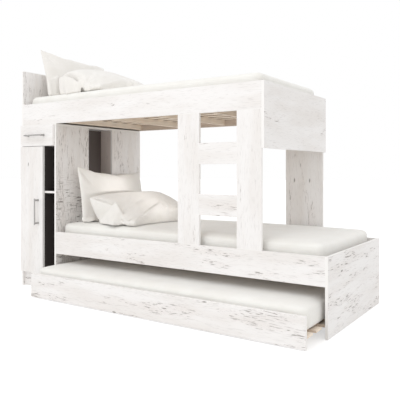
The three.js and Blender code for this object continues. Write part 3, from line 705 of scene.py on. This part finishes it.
def blown_up(piece, pressure, frames, cap, stiffness, bending, start=None, held=None,
             filled=None):
    """Inflates a closed piece with Cloth; no point ends further than cap from where it started.
    The mesh is the cloth as it was cut, and start, if given, is where its points start from.
    held pins points there, and filled gives each point's share of the pressure."""
    cloth = piece.modifiers.new("filling", "CLOTH")
    if start is None:
        start = points_of(piece)
    else:
        cut = piece.shape_key_add(name="cut")
        shape = piece.shape_key_add(name="start")
        shape.data.foreach_set("co", np.ascontiguousarray(start).ravel())
        shape.value = 1
        cloth.settings.rest_shape_key = cut
    for setting, value in dict(
            quality=5, mass=0.3, tension_stiffness=stiffness, compression_stiffness=stiffness,
            shear_stiffness=5, bending_stiffness=bending, use_pressure=True,
            uniform_pressure_force=pressure).items():
        setattr(cloth.settings, setting, value)
    cloth.settings.effector_weights.gravity = 0
    cloth.collision_settings.use_collision = False
    if held:
        cloth.settings.vertex_group_mass = weight_group(piece, "held", held)
    if filled is not None:
        weights = dict(enumerate(filled))
        cloth.settings.vertex_group_pressure = weight_group(piece, "filled", weights)
    for number in range(1, frames + 1):
        scene.frame_set(number)
    shown = piece.evaluated_get(bpy.context.evaluated_depsgraph_get())
    step = points_of(shown) - start
    length = np.linalg.norm(step, axis=1, keepdims=True)
    step *= np.minimum(1, cap / np.maximum(length, 1e-9))
    piece.modifiers.clear()
    piece.shape_key_clear()
    piece.vertex_groups.clear()
    scene.frame_set(1)
    set_points(piece, start + step)
    print(piece.name, "moved", round(float(np.median(length)) * 1000, 1), "mm, at most",
          round(float(length.max()) * 1000, 1), "mm")


def refine(piece):
    """Divides the faces of a blown-up piece once more and shades them softly."""
    piece.modifiers.new("rounding", "SUBSURF").levels = 1
    baked(piece).data.shade_smooth()


def cover(piece, fabric):
    """Gives a piece one fabric and no other material."""
    piece.data.materials.clear()
    piece.data.materials.append(fabric)


print("cloth helpers ready")

# %% [markdown]
# ## Mattresses
# Three foam mattresses, each in a fitted cover: long sides that give a little, rounded edges and
# a top that is slightly crowned and not quite even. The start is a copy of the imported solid,
# drawn in a little and remeshed into even squares, which stretch evenly. Where a mattress
# touches its base it stays flat, and it keeps inside the box of its solid.

# %% Mattresses
mattress_square, mattress_slack, base_gap = 0.018, 0.003, 0.0002
dents = 10


def add_mattress(node_name, seed):
    """A padded cover in place of a packed mattress, with shallow dents and rises on its top."""
    mesh = nodes[node_name].data.copy()
    piece = add_object(node_name + "_cover", mesh)
    low, high = [np.array(corner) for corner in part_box(node_name)]
    shape = bmesh.new()
    shape.from_mesh(mesh)
    bmesh.ops.remove_doubles(shape, verts=shape.verts, dist=1e-5)
    shape.to_mesh(mesh)
    shape.free()
    add_squares(piece, mattress_square)
    baked(piece)
    middle, half = (low + high) / 2, (high - low) / 2
    set_points(piece, middle + (points_of(piece) - middle) * (half - mattress_slack) / half)
    blown_up(piece, pressure=0.25, frames=12, cap=0.006, stiffness=30.0, bending=2.0)
    points = points_of(piece)
    draw = np.random.default_rng(seed)
    for _ in range(dents):
        place = draw.uniform(low[:2], high[:2])
        width = draw.uniform(0.12, 0.35)
        rise = draw.uniform(-0.0022, 0.0012)
        near = np.exp(-((points[:, :2] - place) ** 2).sum(1) / width ** 2)
        points[:, 2] += rise * near * (points[:, 2] > middle[2])
    set_points(piece, np.clip(points, low + base_gap, high))
    refine(piece)
    cover(piece, mattress_fabric)
    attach(piece, nodes[node_name]["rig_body"])
    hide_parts(node_name)
    print(piece.name, len(piece.data.polygons), "faces")
    return piece


mattresses = {name: add_mattress(name + "_mattress", seed)
              for seed, name in enumerate(("upper", "lower", "trundle"))}

# %% [markdown]
# ## Pillows
# Each pillow is two pieces of cotton sewn together all round and stuffed. Its corners keep their
# length and stand out as little ears, while the sides are drawn in between them, and small
# creases run from the seam into the full middle. It starts as a slim two-sided form of that
# outline, is cut from a little spare cloth, and is blown up.

# %% Pillow form
pillow_length, pillow_thickness = 0.660, 0.165
rows, columns = 44, 64
slim, draw_in, spare_cloth = 0.35, 0.012, 0.06


def seam_places(count):
    """Places from -1 to 1 that lie closer together near both seams."""
    return np.sin(np.linspace(-0.5, 0.5, count + 1) * math.pi * 0.9) / math.sin(0.45 * math.pi)


def pillow_points(height, length, fullness, draw_in):
    """Points of two crowned sides that meet in a seam: first the whole upper side, then the lower
    side without the seam. Height runs along x, length along y, the middle is at the origin."""
    u, v = np.meshgrid(seam_places(rows), seam_places(columns), indexing="ij")
    x = u * (height / 2 - draw_in * (1 - v * v))
    y = v * (length / 2 - draw_in * (1 - u * u))
    z = fullness * pillow_thickness / 2 * np.clip((1 - u * u) * (1 - v * v), 0, 1) ** 0.35
    upper = np.stack([x, y, z], axis=-1)
    lower = np.stack([x, y, -z], axis=-1)[1:-1, 1:-1]
    return np.concatenate([upper.reshape(-1, 3), lower.reshape(-1, 3)])


def squares_of(grid):
    """The four corners of each square in a grid of point numbers."""
    return np.stack([grid[:-1, :-1], grid[1:, :-1], grid[1:, 1:], grid[:-1, 1:]], axis=-1)


def pillow_faces():
    """Faces of the two sides, as numbers of the points above."""
    upper = np.arange((rows + 1) * (columns + 1)).reshape(rows + 1, columns + 1)
    lower = upper.copy()
    lower[1:-1, 1:-1] = upper.size + np.arange((rows - 1) * (columns - 1)).reshape(rows - 1, -1)
    both = [squares_of(upper), squares_of(lower)[..., ::-1]]
    return np.stack(both, axis=2).reshape(-1, 4).tolist()


def pillow_case(name, height, gather, cuff):
    """A case with spare cloth, blown up. gather is a place on the seam of the near end, as a
    share of its height and a depth, where the cloth is tied. cuff is the width of an unfilled
    end, whose two corners are held."""
    more = 1 + spare_cloth
    flat = pillow_points(height * more, pillow_length * more, slim, 0.0)
    start = pillow_points(height, pillow_length, slim, draw_in)
    piece = add_mesh(name, flat, pillow_faces())
    hem = np.arange(rows + 1) * (columns + 1)
    held = {}
    if gather:
        share, depth = gather
        x = start[hem, 0]
        middle = share * height / 2
        near = np.exp(-((x - middle) / 0.05) ** 2)
        start[hem, 0] = x + (middle - x) * near * 0.85
        start[hem, 1] += depth * near
        held = {int(i): 1.0 for i, w in zip(hem, near) if w > 0.5}
    filled = None
    if cuff:
        held.update({int(hem[0]): 1.0, int(hem[-1]): 1.0})
        filled = np.clip((start[:, 1] - start[:, 1].min() - cuff * 0.4) / cuff, 0, 1)
    blown_up(piece, pressure=1.2, frames=24, cap=0.09, stiffness=15.0, bending=0.3,
             start=start, held=held, filled=filled)
    return piece


print("pillow sides of", rows, "by", columns, "squares")

# %% [markdown]
# ## Creases, weight and contact
# Folds that are left to a simulation lie where it likes and not where the photograph shows
# them. So each crease is pressed in along a line, and small ripples follow the seam. Weight is
# added the same way: a pillow sags, and then rays keep it on its mattress, off the wall and in
# front of the pillow behind it.

# %% Contact helpers
touch_gap, far = 0.0008, 3.0
sag_height = 0.16
lip_share = 0.4
ripple_depth, ripple_length, ripple_width = 0.0022, 0.031, 0.024


def tree_of(piece):
    """A piece's faces, ready for rays."""
    return BVHTree.FromPolygons([v.co.copy() for v in piece.data.vertices],
                                [list(p.vertices) for p in piece.data.polygons])


def settle(points, wall, under, behind, gap=touch_gap):
    """Keeps points off the wall, above their mattress and before the pillow behind them."""
    for point in points:
        if behind:
            hit = behind.ray_cast(Vector((far, point[1], point[2])), Vector((-1, 0, 0)))[0]
            if hit is not None:
                point[0] = max(point[0], hit.x + gap)
        point[0] = max(point[0], wall + gap)
        hit = under.ray_cast(Vector((point[0], point[1], far)), Vector((0, 0, -1)))[0]
        if hit is not None:
            point[2] = max(point[2], hit.z + gap)


def sag(points, below, top):
    """Lets soft filling sink: points near the mattress come nearer still, the underside most.
    below is 1 on the underside, one half on the seam and 0 on the upper side."""
    height = np.maximum(points[:, 2] - top, 0)
    sunk = np.where(height < sag_height, height - height ** 2 / sag_height, 0)
    points[:, 2] -= sunk * below


def crease(points, above, places, depth, width):
    """Presses a fold into the upper side along a line through the given places, deepest at the
    first of them, and lifts its lower lip."""
    places = [np.array(place) for place in places]
    total = sum(np.linalg.norm(last - first) for first, last in zip(places, places[1:]))
    distance, share, side = np.full(len(points), 9.0), np.zeros(len(points)), np.zeros(len(points))
    passed = 0
    for first, last in zip(places, places[1:]):
        line = last - first
        length = np.linalg.norm(line)
        flat = points[:, :2] - first
        along = np.clip(flat @ line / length ** 2, 0, 1)
        offset = flat - along[:, None] * line
        near = np.linalg.norm(offset, axis=1)
        closer = near < distance
        distance[closer] = near[closer]
        share[closer] = (passed + along[closer] * length) / total
        side[closer] = np.sign(offset @ np.array([line[1], -line[0]]))[closer]
        passed += length
    fade = np.sin(np.pi * np.clip(0.12 + 0.88 * (1 - share), 0, 1) * 0.5) ** 0.7
    pressed = np.exp(-(distance / width) ** 2)
    lip = np.exp(-((distance - 2.2 * width) / (1.5 * width)) ** 2) * side
    points[:, 2] += depth * fade * above * (lip_share * lip - pressed)


def pucker(points, height):
    """Small ripples across the seam, strongest at the seam itself, where the thread pulls."""
    for along, half in ((0, pillow_length / 2), (1, height / 2)):
        across = 1 - along
        place = points[:, along]
        drift = 0.35 * np.sin(place * 23.0) + 0.2 * np.sin(place * 57.0 + 1.0)
        pull = np.exp(-(half - np.abs(points[:, across])) / ripple_width)
        ripple = np.sin(2 * np.pi * (place / ripple_length + drift)) * pull
        points[:, 2] += ripple_depth * ripple
        points[:, across] += ripple_depth * ripple * np.sin(place * 61.0)


print("contact helpers ready")

# %% [markdown]
# ## The open end of a case
# A pillow case is longer than its pillow, and its open end hangs down loosely in a few soft
# folds. The photograph shows such ends at the front of all four pillows. Each is a fan of cloth
# between two bowed lines, one on the pillow and one on the mattress, and it waves between them.
# The fan gets a thickness, and then case and fans are made one closed skin and rubbed smooth,
# because separate sheets that cross would look like folded paper.

# %% Loose cloth and one skin
flap_across, flap_down = 48, 24
flap_thickness, flap_wave, flap_gap = 0.012, 0.009, 0.002
skin_square, skin_rounds = 0.006, 10


def bowed(places, share):
    """A point on the bow through three places."""
    first, middle, last = [np.array(p) for p in places]
    tip = 2 * middle - (first + last) / 2
    return (1 - share) ** 2 * first + 2 * share * (1 - share) * tip + share ** 2 * last


def case_flap(name, upper, hem, folds, towards, swell):
    """A fan of cloth from a pillow down to the mattress. upper and hem are three places each
    along its two edges. It bows out by swell in the direction towards and waves folds times."""
    towards = np.array(towards) / np.linalg.norm(towards)
    points = []
    for i in range(flap_across + 1):
        share = i / flap_across
        top, low = bowed(upper, share), bowed(hem, share)
        for j in range(flap_down + 1):
            t = j / flap_down
            wave = flap_wave * math.sin(2 * math.pi * folds * share + 0.6) * t * (1.2 - 0.5 * t)
            bow = swell * math.sin(math.pi * t) * math.sin(math.pi * share) ** 0.5
            points.append(top + (low - top) * t + towards * (wave + bow))
    grid = np.arange(len(points)).reshape(flap_across + 1, flap_down + 1)
    faces = squares_of(grid)[..., [0, 3, 2, 1]].reshape(-1, 4)
    piece = add_mesh(name, points, faces.tolist())
    thickness = piece.modifiers.new("cloth", "SOLIDIFY")
    thickness.thickness, thickness.offset = flap_thickness, 0
    return baked(piece)


def one_skin(piece):
    """One closed skin around a case and its loose ends, with the joints between them soft."""
    add_squares(piece, skin_square)
    soft = piece.modifiers.new("soft", "SMOOTH")
    soft.factor, soft.iterations = 0.5, skin_rounds
    baked(piece)


print("loose ends of", flap_across, "by", flap_down, "squares")

# %% [markdown]
# ## Laying the pillows down
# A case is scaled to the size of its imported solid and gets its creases, its ripples and its limp
# corners. Then it is set at its slope, sinks a little where it rests and is kept in its place.

# %% Placing helpers
degree = math.radians(1)
bed_middle, top_gap = 0.1085, 0.0003


def form_case(piece, height, creases, corners):
    """Scales a case to its solid's size and gives it creases, ripples and limp corners."""
    points = points_of(piece)
    size = points.max(0) - points.min(0)
    middle = (points.max(0) + points.min(0)) / 2
    print(piece.name, "blown up to", (size * 1000).round().tolist(), "mm")
    target = np.array([height, pillow_length, pillow_thickness])
    set_points(piece, (points - middle) * target / size)
    refine(piece)
    points = points_of(piece)
    above = np.clip(points[:, 2] / 0.03, 0, 1)
    for places, depth, width in creases:
        crease(points, above, places, depth, width)
    pucker(points, height)
    for x, y, reach, step in corners:
        place = np.array([x * height / 2, y * pillow_length / 2])
        limp = np.exp(-(((points[:, :2] - place) / reach) ** 2).sum(1))
        points += limp[:, None] * np.array(step)
    set_points(piece, points)
    return points


def add_pillow(node_name, height, foot, slope, side, turn, sink, wall, under, behind=None,
               gather=None, cuff=0.0, creases=(), corners=(), flaps=()):
    """A pillow in place of a packed one. Its lower edge is foot from the wall, and side is how
    far it is from the bed's middle. A steep one stands on its edge, a flat one lies."""
    piece = pillow_case(node_name + "_case", height, gather, cuff)
    points = form_case(piece, height, creases, corners)
    if slope > 45 * degree:
        below = np.clip(points[:, 0] / 0.12, 0, 1)
    else:
        below = np.clip(0.5 - points[:, 2] / 0.05, 0, 1)
    half = height / 2
    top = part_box(under.name.replace("_cover", ""))[1].z + top_gap
    place = Vector((wall + foot - half * math.cos(slope), bed_middle + side,
                    top - sink + half * math.sin(slope)))
    piece.data.transform(Matrix.Translation(place) @ Matrix.Rotation(turn, 4, "Z")
                         @ Matrix.Rotation(slope, 4, "Y"))
    points = points_of(piece)
    sag(points, below, top)
    bed_tree, back_tree = tree_of(under), tree_of(behind) if behind else None
    settle(points, wall, bed_tree, back_tree)
    set_points(piece, points)
    for flap in flaps:
        cloth = case_flap(node_name + "_flap", *flap)
        points = points_of(cloth)
        settle(points, wall, bed_tree, back_tree, flap_gap)
        set_points(cloth, points)
        with bpy.context.temp_override(active_object=piece, object=piece,
                                       selected_editable_objects=[piece, cloth]):
            bpy.ops.object.join()
    one_skin(piece)
    points = points_of(piece)
    settle(points, wall, bed_tree, back_tree)
    set_points(piece, points)
    piece.data.shade_smooth()
    cover(piece, pillow_fabric)
    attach(piece, nodes[node_name]["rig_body"])
    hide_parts(node_name)
    print(piece.name, points_of(piece).min(0).round(3), points_of(piece).max(0).round(3))
    return piece


print("placing helpers ready")

# %% [markdown]
# ## The four pillows
# On each bunk one pillow leans steeply on the wall at its head, which is the head panel above and
# the cabinet below, and one lies flatter in front of it. Pillows of a kind share their creases,
# but each has its own loose ends, worked out from where the photograph shows them.

# %% Pillows in place
head_face, cabinet_face = -1.140, -0.793
# Creases: the places of the line on the pillow, from its middle, then depth and width.
standing_creases = [(((-0.18, -0.31), (-0.06, -0.24)), 0.011, 0.011),
                    (((-0.2, -0.16), (-0.15, -0.15)), 0.013, 0.01),
                    (((-0.2, -0.11), (-0.16, -0.09)), 0.012, 0.01),
                    (((0.168, -0.31), (0.152, -0.08)), 0.014, 0.009)]
lying_creases = [(((0.156, -0.298), (0.152, -0.2), (0.05, 0.03)), 0.022, 0.011),
                 (((0.07, -0.29), (-0.06, -0.15)), 0.01, 0.012),
                 (((0.08, -0.285), (-0.01, -0.06)), 0.007, 0.012),
                 (((0.15, 0.02), (0.03, 0.06)), 0.011, 0.009),
                 (((0.15, 0.075), (0.03, 0.11)), 0.01, 0.009)]
# Limp corners: which corner, how far it reaches both ways, and how it moves.
standing_corners = [(-1, 1, (0.09, 0.13), (0.034, 0, 0))]
near_corner = (1, -1, (0.06, 0.08), (-0.004, 0.03, 0.02))
upper_corners = [(-1, -1, (0.08, 0.1), (0.018, 0.01, -0.014)), near_corner]
lower_corners = [(-1, -1, (0.08, 0.1), (-0.014, -0.008, -0.016)), near_corner]
# Loose ends: the bow on the pillow, the bow on the mattress, folds, direction and swell.
front, up_front, low_left = (0, -1, 0), (0.6, -0.3, 0.75), (-0.5, -0.85, -0.1)
upper_hem = (((-1.022, -0.222, 1.5), (-1.01, -0.17, 1.512), (-1.006, -0.13, 1.53)),
             ((-1.005, -0.215, 1.376), (-0.98, -0.195, 1.376), (-0.972, -0.15, 1.376)),
             1.5, up_front, 0.012)
upper_flap = (((-0.867, -0.24, 1.489), (-0.765, -0.247, 1.488), (-0.664, -0.222, 1.427)),
              ((-0.845, -0.244, 1.372), (-0.745, -0.262, 1.35), (-0.652, -0.24, 1.372)),
              2.5, front, 0.012)
upper_tuck = (((-0.652, -0.205, 1.44), (-0.599, -0.22, 1.43), (-0.565, -0.195, 1.442)),
              ((-0.626, -0.218, 1.376), (-0.58, -0.24, 1.372), (-0.558, -0.215, 1.378)),
              1.0, front, 0.012)
lower_hem = (((-0.66, -0.225, 0.502), (-0.655, -0.174, 0.509), (-0.65, -0.101, 0.501)),
             ((-0.655, -0.225, 0.476), (-0.605, -0.2, 0.475), (-0.596, -0.118, 0.475)),
             1.5, up_front, 0.012)
lower_cheek = (((-0.56, -0.25, 0.645), (-0.42, -0.252, 0.622), (-0.3, -0.235, 0.585)),
               ((-0.508, -0.188, 0.49), (-0.47, -0.192, 0.476), (-0.4, -0.19, 0.476)),
               0.5, low_left, 0.026)
lower_flap = (((-0.322, -0.244, 0.627), (-0.274, -0.239, 0.563), (-0.259, -0.229, 0.527)),
              ((-0.512, -0.2, 0.474), (-0.314, -0.28, 0.474), (-0.29, -0.19, 0.478)),
              2.5, front, 0.018)
standing = dict(turn=0, cuff=0.05, creases=standing_creases, corners=standing_corners)
lying = dict(height=0.44, sink=0, creases=lying_creases)
upper = dict(wall=head_face, under=mattresses["upper"])
lower = dict(wall=cabinet_face, under=mattresses["lower"])
upper_standing = add_pillow("upper_pillow_standing", height=0.39, foot=0.13, slope=75 * degree,
                            side=0.0095, sink=0.02, flaps=[upper_hem], **standing, **upper)
add_pillow("upper_pillow_lying", foot=0.69, slope=22 * degree, side=-0.0305, turn=-5 * degree,
           behind=upper_standing, gather=(0.5, 0.035), corners=upper_corners,
           flaps=[upper_flap, upper_tuck], **lying, **upper)
lower_standing = add_pillow("lower_pillow_standing", height=0.41, foot=0.148, slope=81 * degree,
                            side=-0.0035, sink=0.014, flaps=[lower_hem], **standing, **lower)
add_pillow("lower_pillow_lying", foot=0.685, slope=25 * degree, side=-0.0535, turn=-7 * degree,
           behind=lower_standing, gather=(0.43, 0.05), corners=lower_corners,
           flaps=[lower_cheek, lower_flap], **lying, **lower)
